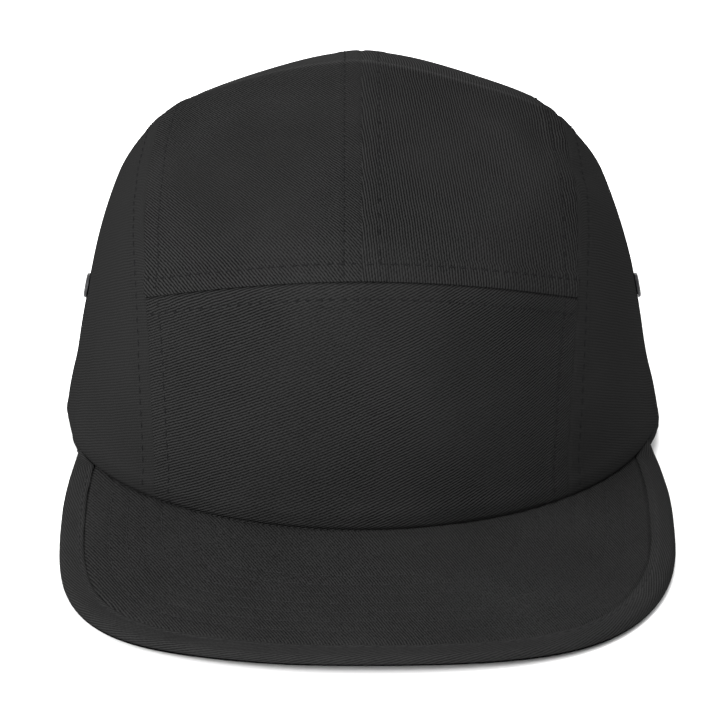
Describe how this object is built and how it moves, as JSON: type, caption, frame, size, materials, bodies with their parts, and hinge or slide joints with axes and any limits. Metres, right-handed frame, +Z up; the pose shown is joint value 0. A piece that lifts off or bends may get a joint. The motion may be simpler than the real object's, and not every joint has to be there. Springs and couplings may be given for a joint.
{
  "type": "five panel cap",
  "caption": "Five panel cap with a flat bound visor, a rounded peaked crown, round metal vents in its sides and an adjustable strap across an arched back opening.",
  "frame": {"origin": "centre of the bounding box in plan, on the surface that the cap rests on", "axes": "+Z up, -Y toward the visor, +X to the right as seen from the front"},
  "size_m": [0.1766, 0.2678, 0.1134],
  "materials": {
    "cloth": "charcoal black cotton twill",
    "binding": "charcoal black twill tape",
    "eyelet_metal": "dark satin",
    "buckle_metal": "dark satin"
  },
  "bodies": {
    "root": {"front_panel": "cloth", "top_panel_left": "cloth", "top_panel_right": "cloth", "side_panel_left": "cloth", "side_panel_right": "cloth", "visor": "cloth", "visor_binding": "binding", "eyelet_left_front": "eyelet_metal", "eyelet_left_back": "eyelet_metal", "eyelet_right_front": "eyelet_metal", "eyelet_right_back": "eyelet_metal", "sweatband": "cloth", "back_strap": "cloth", "strap_buckle": "buckle_metal"}
  },
  "joints": []
}
